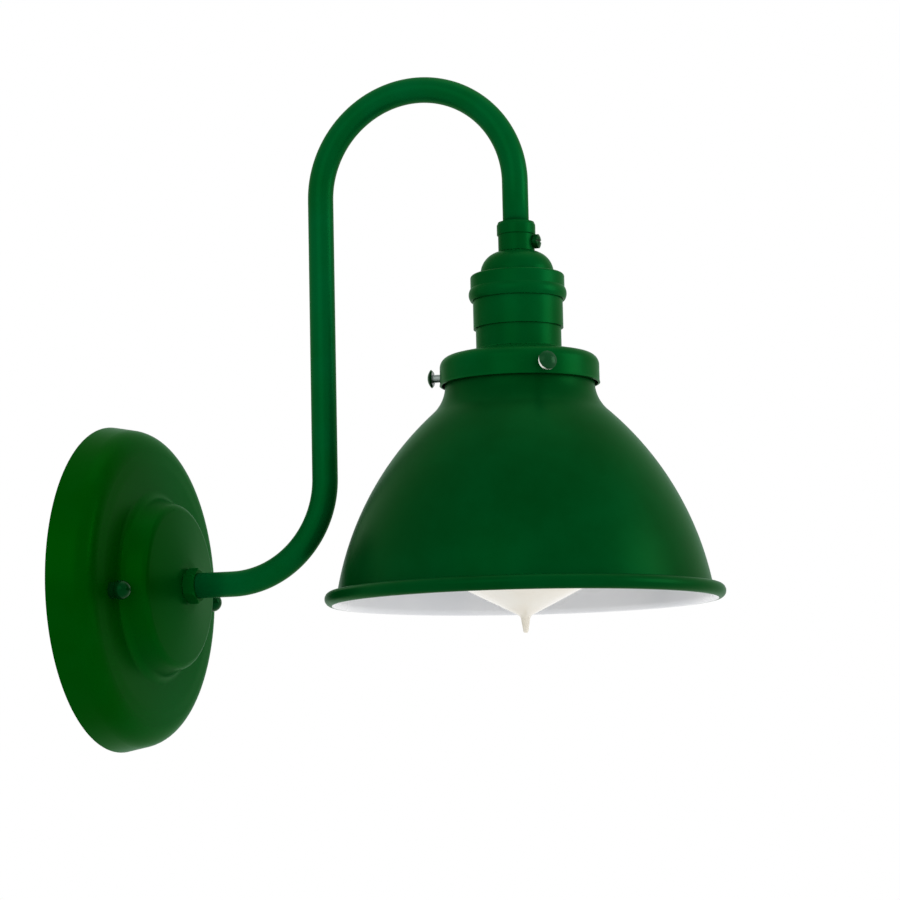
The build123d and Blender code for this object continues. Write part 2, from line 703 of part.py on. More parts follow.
def make_lamp_stem():
    """Glass mount: a funnel sealed to the neck, a pressed stem and a rod for the supports."""
    edge = lamp_cap_bottom_z
    flare_low = edge - stem_flare_height
    seal_r = glass_neck_r - glass_wall
    mount = turned(polygon_section(
        (seal_r, edge), (seal_r, edge - stem_wall), (stem_r, flare_low), (stem_r, stem_end_z), (0, stem_end_z),
        (0, flare_low - 2 * stem_wall), (stem_r - stem_wall, flare_low - 2 * stem_wall),
        (stem_r - stem_wall, flare_low), (seal_r - stem_wall, edge)))
    rod = disc(stem_rod_r, stem_end_z - stem_rod_length, stem_end_z)
    return on_head(mount + rod)


def lamp_point(radius, angle, height):
    """Point in the lamp, by its radius and angle about the lamp's axis."""
    return (radius * cos(radians(angle)), -head_out + radius * sin(radians(angle)), height)


def cage_ends():
    """Angles at which the filament starts and ends, on the two inner leads."""
    return (0.0, 2 * support_count * cage_step)


def make_lamp_inner_leads():
    wires = []
    for angle in cage_ends():
        start = lamp_point(inner_lead_spread, angle, stem_end_z)
        bend = lamp_point(inner_lead_spread, angle, stem_end_z - 0.4 * upper_ring_drop)
        end = lamp_point(upper_ring_r, angle, upper_ring_z)
        straight = rod_between(start, bend, inner_lead_r)
        wires.append(straight + Pos(*bend) * Sphere(inner_lead_r) + rod_between(bend, end, inner_lead_r))
    return Compound(wires)


def make_lamp_supports():
    wires = []
    for turn in range(1, 2 * support_count):
        low = turn % 2 == 1
        reach = (lower_ring_r if low else upper_ring_r) + support_hook
        height = lower_ring_z if low else upper_ring_z
        angle = turn * cage_step
        wires.append(rod_between(lamp_point(stem_rod_r, angle, height), lamp_point(reach, angle, height), support_r))
    return Compound(wires)


def make_lamp_filament():
    """Cage filament: one wire that runs down and up between the two rings of supports."""
    clear = filament_r + support_r + running_gap
    first, last = cage_ends()
    end_z = upper_ring_z - inner_lead_r - filament_r
    corners = [lamp_point(upper_ring_r, first, end_z)]
    for turn in range(1, 2 * support_count):
        low = turn % 2 == 1
        radius = lower_ring_r if low else upper_ring_r
        height = lower_ring_z + clear if low else upper_ring_z - clear
        corners.append(lamp_point(radius, turn * cage_step, height))
    corners.append(lamp_point(upper_ring_r, last, end_z))
    wire = rod_between(corners[0], corners[1], filament_r)
    for start, end in zip(corners[1:-1], corners[2:]):
        wire += Pos(*start) * Sphere(filament_r)
        wire += rod_between(start, end, filament_r)
    return wire


def make_lamp_cap_shell():
    low = lamp_cap_bottom_z
    high = low + lamp_cap_length
    return on_head(ring(lamp_cap_r - lamp_cap_wall, lamp_cap_r, low, high))


def make_lamp_cap_insulator():
    low = lamp_cap_bottom_z + lamp_cap_length
    plug = disc(lamp_cap_r - lamp_cap_wall, low - 3.0, low)
    cone = turned(polygon_section(
        (0, low), (insulator_base_r, low), (insulator_top_r, low + insulator_height), (0, low + insulator_height)))
    return on_head(plug + cone)


def make_lamp_contact():
    low = lamp_cap_bottom_z + lamp_cap_length + insulator_height
    base = disc(contact_r, low, low + contact_height)
    return on_head(fillet(base.edges().sort_by(Axis.Z)[-1], 0.8 * contact_height))


def main():
    os.makedirs("parts", exist_ok=True)
    save(make_canopy(), "canopy")
    save(make_crossbar(), "crossbar")
    save(make_studs(), "canopy_studs")
    save(make_stud_lock_nuts(), "stud_lock_nuts")
    save(make_ball_nut(-1), "ball_nut_left")
    save(make_ball_nut(1), "ball_nut_right")
    save(make_ground_screw(), "ground_screw")
    save(make_ground_lead(), "ground_lead")
    save(make_arm_tube(), "arm_tube")
    save(make_arm_hex_nut(), "arm_hex_nut")
    save(make_arm_lock_washer(), "arm_lock_washer")
    save(make_earth_tag(), "earth_tag")
    save(make_arm_back_nut(), "arm_back_nut")
    save(make_tube_bushing(), "tube_bushing")
    save(make_lead(1), "line_lead")
    save(make_lead(-1), "neutral_lead")
    save(make_lead_ends(), "lead_ends")
    save(make_socket_cap(), "socket_cap")
    save(make_cap_set_screw(), "cap_set_screw")
    save(make_socket_shell(), "socket_shell")
    save(make_insulating_sleeve(), "insulating_sleeve")
    save(make_socket_core(), "socket_core")
    save(make_screw_shell(), "screw_shell")
    save(make_centre_contact(), "centre_contact")
    save(make_terminal_plates(), "terminal_plates")
    save(make_terminal_screws(), "terminal_screws")
    save(make_shade_holder(), "shade_holder")
    save(make_clamp_ring(), "clamp_ring")
    for name, angle in zip(("left", "front", "rear"), thumb_angles()):
        save(make_thumbscrew(angle), "thumbscrew_" + name)
    save(make_shade(), "shade")
    save(make_lamp_glass(), "lamp_glass")
    save(make_lamp_stem(), "lamp_stem")
    save(make_lamp_inner_leads(), "lamp_inner_leads")
    save(make_lamp_supports(), "lamp_supports")
    save(make_lamp_filament(), "lamp_filament")
    save(make_lamp_cap_shell(), "lamp_cap_shell")
    save(make_lamp_cap_insulator(), "lamp_cap_insulator")
    save(make_lamp_contact(), "lamp_contact")


main()
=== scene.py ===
import bpy
import bmesh
from math import asin, cos, degrees, pi, radians, sin
from mathutils import Matrix, Vector


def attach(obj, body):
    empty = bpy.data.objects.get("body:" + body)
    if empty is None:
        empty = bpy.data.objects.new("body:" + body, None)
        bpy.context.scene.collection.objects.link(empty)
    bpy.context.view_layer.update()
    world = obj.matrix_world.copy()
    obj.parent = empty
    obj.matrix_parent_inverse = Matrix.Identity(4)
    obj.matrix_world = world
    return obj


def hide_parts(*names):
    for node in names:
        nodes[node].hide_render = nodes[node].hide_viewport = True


# Gooseneck wall sconce. Sizes are in millimetres and become metres in the meshes.
# Spun pieces are drawn as (radius, height). On the wall plate the height is the depth out of the wall.

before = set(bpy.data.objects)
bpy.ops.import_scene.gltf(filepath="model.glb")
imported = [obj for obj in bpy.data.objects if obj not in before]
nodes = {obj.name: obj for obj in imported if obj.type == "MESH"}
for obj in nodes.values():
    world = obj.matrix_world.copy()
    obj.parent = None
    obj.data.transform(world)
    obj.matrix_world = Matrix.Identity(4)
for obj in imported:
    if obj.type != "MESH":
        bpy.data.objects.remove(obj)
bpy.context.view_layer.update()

MM = 0.001
TURN_STEPS = 144          # sides of a spun piece
SCREW_STEPS = 48          # sides of a thumbscrew
TUBE_SIDES = 64
BEND_STEPS = 48           # points along each bend of the tube
FLARE_STEPS = 16
DOME_STEPS = 48
CURL_STEPS = 60
CROWN_STEPS = 14
SHARP_ANGLE = 40.0        # edges that turn more than this stay crisp

# Sizes of the pieces that are made here, as on the solids.
HEAD_OUT = 175.1          # wall to the lampholder's axis
ARM_RISE = 3.8            # arm's root above the crossbar's middle
ARM_REACH = 91.7          # wall to the upright leg
TUBE_R = 5.2
TUBE_WALL = 1.0
TUBE_BACK = 22.0          # depth of the tube's rear end
BEND_R = 41.0             # bend at the foot of the upright leg
CROOK_R = 41.7
CROOK_Z = 159.1           # where the crook starts to turn
TUBE_END_Z = 131.6        # where the tube ends in the lampholder's cap

HOLDER_BOTTOM_Z = 77.4
HOLDER_R = 31.6
THUMB_Z = 81.6
THUMB_R = 1.6
THUMB_STAND = 3.7         # bare shank between holder and head
THUMB_HEAD_R = 3.7
THUMB_HEAD_THICK = 2.2
THUMB_HEAD_EDGE = 0.7     # bevel behind the head
THUMB_TIP_GAP = 0.25      # tip to the shade's neck
THUMB_POINT = 0.3         # bevel of the tip
THUMB_ANGLES = {"left": 95.0, "front": 215.0, "rear": 335.0}

SHADE_WALL = 1.0
SHADE_NECK_R = 29.6
SHADE_NECK_LAP = 8.6      # neck inside the holder
FLARE_R = 16.0
FLARE_START = 0.4
FLARE_ANGLE = 48.0        # from upright, where flare and dome meet
DOME_R = 122.6
SHADE_DROP = 83.7         # from the holder's lower edge to the middle of the rolled rim
BEAD_R = 2.8
CURL_ANGLE = 300.0
LIP = 0.35                # turned edge at the top of the neck
LIP_HEIGHT = 1.4

# Looks and stage. Lengths are in metres.
PAINTED_REFLECTION_SPAN = 0.06          # width over which the plate's painted reflection fades in
PAINTED_REFLECTION_DRIFT = 0.02         # how far the edge of that painted reflection wavers
BARE_EDGE_CENTRE = (-0.0293, -0.1963, 0.0822)     # the front thumbscrew's head turns to bare metal furthest from here
BARE_EDGE_FROM = 0.00408        # distance at which bare metal starts to show
BARE_EDGE_TO = 0.00432          # distance from which the head is bare metal
TIP_SHADE_LOW = -0.026        # the lamp's painted shade is fullest below this height
TIP_SHADE_HIGH = -0.004       # and gone above this one
PAINT_SHEEN = (0.10, 0.75, 0.30, 1.0)       # the paint's gloss takes its green
PAINT_METALLIC = 0.25     # share of the paint that reflects in its own colour
FLOOR_Z = -0.55
FLOOR_HALF = 3.0
FLOOR_GREY = (0.62, 0.62, 0.62, 1)
FLOOR_GLOW = 0.6


# ---- Outlines ---------------------------------------------------------------------------------
def arc(centre, radius, start, end, steps):
    """Points of an arc, by its angles in degrees."""
    turns = [radians(start + (end - start) * i / steps) for i in range(steps + 1)]
    return [(centre[0] + radius * cos(a), centre[1] + radius * sin(a)) for a in turns]


def joined(*runs):
    """One line through several runs of points, without the points that they share."""
    line = []
    for run in runs:
        line += [p for p in run if not line or abs(p[0] - line[-1][0]) + abs(p[1] - line[-1][1]) > 1e-6]
    return line


# ---- Meshes -----------------------------------------------------------------------------------
def finish_mesh(bm, name, body):
    """Puts a built mesh in the scene as a smooth piece that rides on a body."""
    bmesh.ops.remove_doubles(bm, verts=bm.verts, dist=1e-7)
    bmesh.ops.recalc_face_normals(bm, faces=bm.faces)
    mesh = bpy.data.meshes.new(name)
    bm.to_mesh(mesh)
    bm.free()
    mesh.shade_smooth()
    mesh.set_sharp_from_angle(angle=radians(SHARP_ANGLE))
    piece = bpy.data.objects.new(name, mesh)
    bpy.context.scene.collection.objects.link(piece)
    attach(piece, body)
    return piece


def spun(name, body, outline, place, zones, steps=TURN_STEPS):
    """Piece spun from a closed outline about the place's Z axis. Zones number its materials by edge."""
    bm = bmesh.new()
    rings = []
    for radius, height in outline:
        if radius < 1e-4:
            rings.append([bm.verts.new(place @ Vector((0, 0, height * MM)))])
            continue
        turns = [2 * pi * i / steps for i in range(steps)]
        points = [Vector((radius * cos(t), radius * sin(t), height)) * MM for t in turns]
        rings.append([bm.verts.new(place @ point) for point in points])
    for edge, (low, high) in enumerate(zip(rings, rings[1:] + rings[:1])):
        if len(low) == 1 and len(high) == 1:
            continue
        for i in range(steps):
            j = (i + 1) % steps
            corners = [low[i % len(low)], low[j % len(low)], high[j % len(high)], high[i % len(high)]]
            face = bm.faces.new(list(dict.fromkeys(corners)))
            face.material_index = zones[edge]
    return finish_mesh(bm, name, body)


def on_head(height=0.0):
    """Place on the lampholder's upright axis."""
    return Matrix.Translation((0, -HEAD_OUT * MM, height * MM))


def sideways(angle, height):
    """Place on the lampholder's axis whose Z axis points sideways."""
    return on_head(height) @ Matrix.Rotation(radians(angle), 4, "Z") @ Matrix.Rotation(radians(90), 4, "Y")


# ---- Geometry Nodes ---------------------------------------------------------------------------
def new_tree(name, **inputs):
    """An empty tree with its group nodes. The inputs name the socket types."""
    tree = bpy.data.node_groups.new(name, "GeometryNodeTree")
    tree.interface.new_socket("Geometry", in_out="INPUT", socket_type="NodeSocketGeometry")
    for label, kind in inputs.items():
        tree.interface.new_socket(label.replace("_", " "), in_out="INPUT", socket_type="NodeSocket" + kind)
    tree.interface.new_socket("Geometry", in_out="OUTPUT", socket_type="NodeSocketGeometry")
    return tree, tree.nodes.new("NodeGroupInput"), tree.nodes.new("NodeGroupOutput")


def end_tree(tree, made, start, end):
    """Ends a tree: copies made real, then its material."""
    realize = tree.nodes.new("GeometryNodeRealizeInstances")
    painted = tree.nodes.new("GeometryNodeSetMaterial")
    tree.links.new(made, realize.inputs["Geometry"])
    tree.links.new(realize.outputs["Geometry"], painted.inputs["Geometry"])
    tree.links.new(start.outputs["Finish"], painted.inputs["Material"])
    tree.links.new(painted.outputs["Geometry"], end.inputs["Geometry"])


def bent_tube_tree():
    """Tube along the object's corner points: corners rounded by their points' radii, a ring swept along."""
    tree, start, end = new_tree(
        "bent_tube", Tube_radius="Float", Sides="Int", Bend_steps="Int", Finish="Material")
    add, link = tree.nodes.new, tree.links.new
    bend, corner = add("GeometryNodeFilletCurve"), add("GeometryNodeInputRadius")
    even = add("GeometryNodeSetCurveRadius")
    bend.mode = "POLY"
    bend.inputs["Limit Radius"].default_value = False
    even.inputs["Radius"].default_value = 1.0
    ring, sweep = add("GeometryNodeCurvePrimitiveCircle"), add("GeometryNodeCurveToMesh")
    link(start.outputs["Geometry"], bend.inputs["Curve"])
    link(start.outputs["Bend steps"], bend.inputs["Count"])
    link(corner.outputs["Radius"], bend.inputs["Radius"])
    link(bend.outputs["Curve"], even.inputs["Curve"])
    link(start.outputs["Tube radius"], ring.inputs["Radius"])
    link(start.outputs["Sides"], ring.inputs["Resolution"])
    link(even.outputs["Curve"], sweep.inputs["Curve"])
    link(ring.outputs["Curve"], sweep.inputs["Profile Curve"])
    end_tree(tree, sweep.outputs["Mesh"], start, end)
    return tree


def from_tree(name, body, holder, tree, wall, **inputs):
    """The tree's result as a plain mesh that rides on a body, with its wall put inside the surface."""
    modifier = holder.modifiers.new("made", "NODES")
    modifier.node_group = tree
    sockets = {s.name: s.identifier for s in tree.interface.items_tree if s.in_out == "INPUT"}
    for label, value in inputs.items():
        modifier[sockets[label.replace("_", " ")]] = value
    holder.update_tag()
    bpy.context.view_layer.update()
    mesh = bpy.data.meshes.new_from_object(holder.evaluated_get(bpy.context.evaluated_depsgraph_get()))
    holder.modifiers.remove(modifier)
    bpy.data.objects.remove(holder)
    bm = bmesh.new()
    bm.from_mesh(mesh)
    bpy.data.meshes.remove(mesh)
    piece = finish_mesh(bm, name, body)
    thickness = piece.modifiers.new("wall", "SOLIDIFY")
    thickness.thickness = wall * MM
    thickness.offset = -1.0
    paint(piece, inputs["Finish"])
    return piece


def corner_path(name, corners):
    """Curve object through corner points in millimetres, with each rounding in the point's radius."""
    curve = bpy.data.curves.new(name, "CURVE")
    curve.dimensions = "3D"
    spline = curve.splines.new("POLY")
    spline.points.add(len(corners) - 1)
    for point, (x, y, z, radius) in zip(spline.points, corners):
        point.co = (x * MM, y * MM, z * MM, 1)
        point.radius = radius * MM
    holder = bpy.data.objects.new(name, curve)
    bpy.context.scene.collection.objects.link(holder)
    return holder


# ---- Shader building --------------------------------------------------------------------------
class Value:
    """A shader socket that takes Python's operators."""

    def __init__(self, finish, socket):
        self.finish, self.socket = finish, socket

    def join(self, operation, other, swap=False):
        """This value and another through one maths node."""
        pair = (other, self) if swap else (self, other)
        return self.finish.maths(operation, *pair)

    def __add__(self, other):
        return self.join("ADD", other)

    __radd__ = __add__

    def __rsub__(self, other):
        return self.join("SUBTRACT", other, swap=True)

    def __mul__(self, other):
        return self.join("MULTIPLY", other)


class Finish:
    """A material under construction."""

    def __init__(self, name):
        self.material = bpy.data.materials.new(name)
        self.material.use_nodes = True
        self.tree = self.material.node_tree
        self.tree.nodes.clear()

    def node(self, kind, settings=None, **sockets):
        """Adds a node: its type, its settings, then its sockets' values or links."""
        made = self.tree.nodes.new(kind)
        for key, value in (settings or {}).items():
            setattr(made, key, value)
        for key, value in sockets.items():
            socket = self.find_input(made, key)
            if isinstance(value, Value):
                self.tree.links.new(value.socket, socket)
            else:
                socket.default_value = value
        return made

    @staticmethod
    def find_input(made, key):
        """A node's input by name, with _ for a blank, or by number after a leading _."""
        if key[0] == "_":
            return made.inputs[int(key[1:])]
        return made.inputs[key.replace("_", " ")]

    def value(self, made, output=0):
        return Value(self, made.outputs[output])

    def maths(self, operation, *values):
        named = {"_" + str(i): v for i, v in enumerate(values)}
        return self.value(self.node("ShaderNodeMath", {"operation": operation}, **named))

    def smooth(self, value, low, high):
        """0 below low, 1 above high and a soft step between them."""
        made = self.node("ShaderNodeMapRange", {"interpolation_type": "SMOOTHSTEP"},
                         Value=value, From_Min=low, From_Max=high)
        return self.value(made)

    def between(self, factor, first, second):
        """Colour mixed from first to second."""
        made = self.node("ShaderNodeMix", {"data_type": "RGBA"}, _0=factor, _6=first, _7=second)
        return self.value(made, 2)

    def place(self):
        """Position on the piece, in metres."""
        return self.value(self.node("ShaderNodeTexCoord"), 3)

    def axes(self, vector):
        made = self.node("ShaderNodeSeparateXYZ", _0=vector)
        return [self.value(made, i) for i in range(3)]

    def noise(self, scale, detail, rough=0.5):
        made = self.node("ShaderNodeTexNoise", Vector=self.place(), Scale=scale, Detail=detail,
                         Roughness=rough)
        return self.value(made)

    def bump(self, height, distance, strength):
        made = self.node("ShaderNodeBump", Height=height, Distance=distance, Strength=strength)
        return self.value(made)

    def surface(self, **sockets):
        """Ends the material with one lit surface."""
        made = self.node("ShaderNodeBsdfPrincipled", **sockets)
        self.node("ShaderNodeOutputMaterial", Surface=self.value(made))
        return self.material


def colour(red, green, blue):
    """sRGB bytes as a linear colour."""
    shares = [c / 255 for c in (red, green, blue)]
    return tuple(s / 12.92 if s <= 0.04045 else ((s + 0.055) / 1.055) ** 2.4 for s in shares) + (1.0,)


def enamel(name, deep, light, painted_reflection=None, painted_reflection_from=0.0, gloss=0.30, sheen=0.02):
    """Sprayed gloss paint: slow drift of colour, faint orange peel and a few dust specks.
    Where a painted reflection tone is given, the colour leans to it along the piece's X axis."""
    f = Finish(name)
    drift = f.noise(16.0, 3.0, 0.55)
    cloud = f.noise(120.0, 3.0, 0.6)
    specks = f.smooth(f.noise(1400.0, 1.0), 0.76, 0.82)
    tone = f.smooth(drift * 0.8 + cloud * 0.2, 0.36, 0.64)
    skin = f.noise(420.0, 2.0, 0.5) * 0.7 + f.noise(1100.0, 1.0) * 0.3
    rough = gloss + cloud * 0.08 + specks * 0.12
    normal = f.bump(skin + specks * 0.5, 0.000008, 0.3)
    body = f.between(tone, deep, light)
    if painted_reflection:
        # Painted reflection: along X the green turns to the reflection tone.
        across = f.axes(f.place())[0] + drift * PAINTED_REFLECTION_DRIFT
        body = f.between(f.smooth(across, painted_reflection_from, painted_reflection_from + PAINTED_REFLECTION_SPAN), body, painted_reflection)
    return f.surface(Base_Color=body, Roughness=rough, Normal=normal, IOR=1.5, Metallic=PAINT_METALLIC,
                     Specular_IOR_Level=sheen, Specular_Tint=PAINT_SHEEN)


def chipped_paint(name, green, clear_of):
    """Paint on a small screw's head that gives way to bare metal on the edge furthest from a point."""
    f = Finish(name)
    away = f.value(f.node("ShaderNodeVectorMath", {"operation": "DISTANCE"}, _0=f.place(), _1=clear_of), 1)
    bare = f.smooth(away + f.noise(900.0, 2.0) * 0.0003, BARE_EDGE_FROM, BARE_EDGE_TO)
    grain = f.noise(1100.0, 2.0)
    tone = f.between(bare, green, colour(214, 216, 208))
    return f.surface(Base_Color=tone, Metallic=bare * 0.8 + 0.2, Roughness=grain * 0.1 + 0.22,
                     Normal=f.bump(grain, 0.000008, 0.3), Specular_IOR_Level=0.1)


def plated_steel(name, tint, gloss=0.30):
    """Bare or plated metal with fine grain and dull stains."""
    f = Finish(name)
    grain = f.noise(900.0, 3.0, 0.6)
    stain = f.smooth(f.noise(90.0, 4.0, 0.6), 0.45, 0.75)
    tone = f.between(stain, tint, tuple(c * 0.72 for c in tint[:3]) + (1.0,))
    return f.surface(Base_Color=tone, Metallic=1.0, Roughness=gloss + grain * 0.18 + stain * 0.12,
                     Normal=f.bump(grain, 0.00002, 0.4))


def plastic(name, tint, gloss=0.45):
    """Moulded plastic, rubbery covering or dark glass, with an uneven tone."""
    f = Finish(name)
    grain = f.noise(1300.0, 2.0, 0.5)
    fade = f.noise(60.0, 3.0, 0.5)
    tone = f.between(f.smooth(fade, 0.3, 0.7), tint, tuple(c * 0.82 for c in tint[:3]) + (1.0,))
    return f.surface(Base_Color=tone, Roughness=gloss + grain * 0.15, Normal=f.bump(grain, 0.00002, 0.5))


def porcelain_glaze():
    f = Finish("porcelain")
    mottle = f.smooth(f.noise(80.0, 3.0), 0.4, 0.7)
    tone = f.between(mottle, colour(238, 234, 222), colour(222, 216, 202))
    return f.surface(Base_Color=tone, Roughness=0.18 + mottle * 0.1, Coat_Weight=0.6, Coat_Roughness=0.08,
                     Normal=f.bump(f.noise(300.0, 2.0), 0.00004, 0.4))


def pressed_fibre():
    f = Finish("fibre")
    flake = f.noise(700.0, 4.0, 0.7)
    tone = f.between(f.smooth(flake, 0.3, 0.7), colour(150, 122, 84), colour(112, 86, 56))
    return f.surface(Base_Color=tone, Roughness=0.75 + flake * 0.15, Normal=f.bump(flake, 0.00005, 0.6))


def coated_glass():
    """Lamp glass with a warm white coat inside. Towards its lower end it turns a little creamier and darker,
    as painted shade near the tip.
    """
    f = Finish("lamp_glass")
    height = f.axes(f.place())[2]
    # Painted shade: the glass darkens towards the tip.
    low = 1 - f.smooth(height, TIP_SHADE_LOW, TIP_SHADE_HIGH)
    mottle = f.noise(60.0, 3.0, 0.55)
    cream = f.between(f.smooth(mottle, 0.35, 0.7), colour(255, 251, 239), colour(251, 243, 226))
    tone = f.between(low * 0.3, cream, colour(250, 243, 226))
    return f.surface(Base_Color=tone, Roughness=0.20 + mottle * 0.08, Coat_Weight=0.5, Coat_Roughness=0.04,
                     Normal=f.bump(f.noise(40.0, 2.0), 0.0002, 0.25))


def clear_glass():
    f = Finish("clear_glass")
    seed = f.noise(260.0, 2.0)
    tone = f.between(seed, colour(236, 244, 242), colour(222, 236, 232))
    return f.surface(Base_Color=tone, Roughness=0.04 + seed * 0.04,
                     Transmission_Weight=0.9, IOR=1.5, Normal=f.bump(seed, 0.00003, 0.3))


def lining_enamel():
    """White enamel inside the shade: almost even, with a faint warm drift and orange peel."""
    f = Finish("white_enamel")
    drift = f.smooth(f.noise(22.0, 3.0, 0.5), 0.35, 0.65)
    tone = f.between(drift, colour(246, 247, 249), colour(236, 238, 242))
    skin = f.noise(520.0, 2.0, 0.5)
    return f.surface(Base_Color=tone, Roughness=0.26 + drift * 0.08, Coat_Weight=0.2, Coat_Roughness=0.06,
                     Normal=f.bump(skin, 0.00002, 0.35))


def paint(piece, *materials):
    """Fills the piece's slots in order. They aren't emptied first, because that resets the faces' numbers."""
    slots = piece.data.materials
    for i, material in enumerate(materials):
        if i < len(slots):
            slots[i] = material
        else:
            slots.append(material)


# ---- Finishes ---------------------------------------------------------------------------------
# One green paint covers the whole fixture. Its copies for plate, arm, socket, shade and small hardware are
# set lighter or darker, partly as painted light and shade of how each part is lit.
plate_green = enamel("green_paint_plate", colour(0, 62, 1), colour(0, 66, 5),
                     # painted reflection: towards +X the plate's green turns lighter and bluer
                     painted_reflection=colour(0, 72, 24), painted_reflection_from=-0.03, sheen=0.012)
arm_green = enamel("green_paint_arm", colour(0, 75, 28), colour(0, 82, 38))
socket_green = enamel("green_paint_socket", colour(0, 66, 22), colour(0, 74, 30))
shade_green = enamel("green_paint_shade", colour(0, 56, 17), colour(0, 63, 23))
hardware_green = enamel("green_paint_hardware", colour(0, 46, 12), colour(0, 54, 18), gloss=0.16, sheen=0.10)
# Painted light: the front thumbscrew's head green is lighter than the other thumbscrews' green.
front_screw_lit_green = chipped_paint("green_paint_screw_head", colour(0, 60, 24), BARE_EDGE_CENTRE)
white_lining = lining_enamel()
zinc = plated_steel("zinc_plate", colour(196, 198, 202))
bare_steel = plated_steel("bare_steel", colour(128, 138, 134), gloss=0.2)
brass = plated_steel("brass", colour(206, 172, 92), gloss=0.28)
cap_brass = plated_steel("lamp_cap_brass", colour(198, 170, 104), gloss=0.22)
copper = plated_steel("copper", colour(196, 118, 78), gloss=0.25)
nickel = plated_steel("nickel_wire", colour(160, 158, 150), gloss=0.25)
tungsten = plated_steel("tungsten_wire", colour(92, 90, 92), gloss=0.35)
solder = plated_steel("solder", colour(160, 164, 168), gloss=0.35)
ground_green = enamel("green_ground_screw", colour(20, 110, 56), colour(28, 124, 64))
black_moulding = plastic("black_moulding", colour(26, 26, 27))
black_cover = plastic("black_insulation", colour(22, 22, 23))
white_cover = plastic("white_insulation", colour(226, 225, 216))
green_cover = plastic("green_insulation", colour(30, 120, 58))
black_glass = plastic("black_glass", colour(18, 18, 20), gloss=0.12)
porcelain = porcelain_glaze()
fibre = pressed_fibre()
lamp_white = coated_glass()
stem_glass = clear_glass()

node_finish = {
    "crossbar": zinc, "canopy_studs": zinc, "stud_lock_nuts": zinc, "ground_screw": ground_green,
    "ground_lead": green_cover, "arm_hex_nut": plate_green, "arm_lock_washer": zinc, "earth_tag": brass,
    "arm_back_nut": zinc, "tube_bushing": black_moulding, "line_lead": black_cover,
    "neutral_lead": white_cover, "lead_ends": copper, "insulating_sleeve": fibre,
    "socket_core": porcelain, "screw_shell": brass, "centre_contact": brass, "terminal_plates": brass,
    "terminal_screws": brass, "clamp_ring": zinc, "lamp_stem": stem_glass, "lamp_inner_leads": nickel,
    "lamp_supports": nickel, "lamp_filament": tungsten, "lamp_cap_shell": cap_brass,
    "lamp_cap_insulator": black_glass, "lamp_contact": solder, "canopy": plate_green,
    "arm_tube": arm_green, "socket_cap": socket_green, "socket_shell": socket_green,
    "shade_holder": socket_green, "shade": shade_green, "lamp_glass": lamp_white,
    "ball_nut_left": hardware_green, "ball_nut_right": hardware_green, "cap_set_screw": hardware_green,
    "thumbscrew_left": hardware_green, "thumbscrew_front": front_screw_lit_green, "thumbscrew_rear": hardware_green,
}
for name, material in node_finish.items():
    paint(nodes[name], material)


# ---- Pieces made here -------------------------------------------------------------------------
def make_arm_tube():
    """The gooseneck: straight out of the wall, up, over the crook and down to the lampholder."""
    crook_top = CROOK_Z + CROOK_R
    corners = corner_path("arm_path", [
        (0, -TUBE_BACK, ARM_RISE, 0), (0, -ARM_REACH, ARM_RISE, BEND_R), (0, -ARM_REACH, crook_top, CROOK_R),
        (0, -HEAD_OUT, crook_top, CROOK_R), (0, -HEAD_OUT, TUBE_END_Z, 0)])
    tube = from_tree("gooseneck", "fixture", corners, bent_tube_tree(), TUBE_WALL,
                     Tube_radius=TUBE_R * MM, Sides=TUBE_SIDES, Bend_steps=BEND_STEPS, Finish=arm_green)
    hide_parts("arm_tube")


def sheet_face(shift):
    """Inner face of the shade's sheet from neck to curl, moved out by a shift: four runs of points."""
    neck_r, dome_r = SHADE_NECK_R - SHADE_WALL, DOME_R - SHADE_WALL
    flare = (neck_r + FLARE_R + SHADE_WALL, HOLDER_BOTTOM_Z + FLARE_START)
    lean, step = radians(FLARE_ANGLE), FLARE_R + SHADE_WALL + dome_r
    dome = (flare[0] - step * cos(lean), flare[1] - step * sin(lean))
    mouth = asin((HOLDER_BOTTOM_Z - SHADE_DROP - dome[1]) / (dome_r + BEAD_R))
    bead = (dome[0] + (dome_r + BEAD_R) * cos(mouth), dome[1] + (dome_r + BEAD_R) * sin(mouth))
    turn = degrees(mouth) + 180
    neck_top = (neck_r + shift, HOLDER_BOTTOM_Z + SHADE_NECK_LAP)
    return ([neck_top],
            arc(flare, FLARE_R + SHADE_WALL - shift, 180, 180 + FLARE_ANGLE, FLARE_STEPS),
            arc(dome, dome_r + shift, FLARE_ANGLE, degrees(mouth), DOME_STEPS),
            arc(bead, BEAD_R - shift, turn, turn + CURL_ANGLE, CURL_STEPS))


def make_shade():
    """Spun shade: green outside and on the rolled rim, white enamel inside down to the rim's underside."""
    inner, outer = joined(*sheet_face(0)), joined(*sheet_face(SHADE_WALL))
    lowest = min(inner, key=lambda p: p[1])
    neck_top = HOLDER_BOTTOM_Z + SHADE_NECK_LAP
    lip_r, lip_foot = SHADE_NECK_R + LIP, neck_top - LIP_HEIGHT
    lip = [(SHADE_NECK_R, lip_foot), (lip_r, lip_foot), (lip_r, neck_top)]
    outline = inner + outer[:0:-1] + lip
    white_edges = inner.index(lowest)
    zones = [1 if edge < white_edges else 0 for edge in range(len(outline))]
    shade = spun("enamelled_shade", "fixture", outline, on_head(), zones)
    paint(shade, shade_green, white_lining)
    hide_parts("shade")


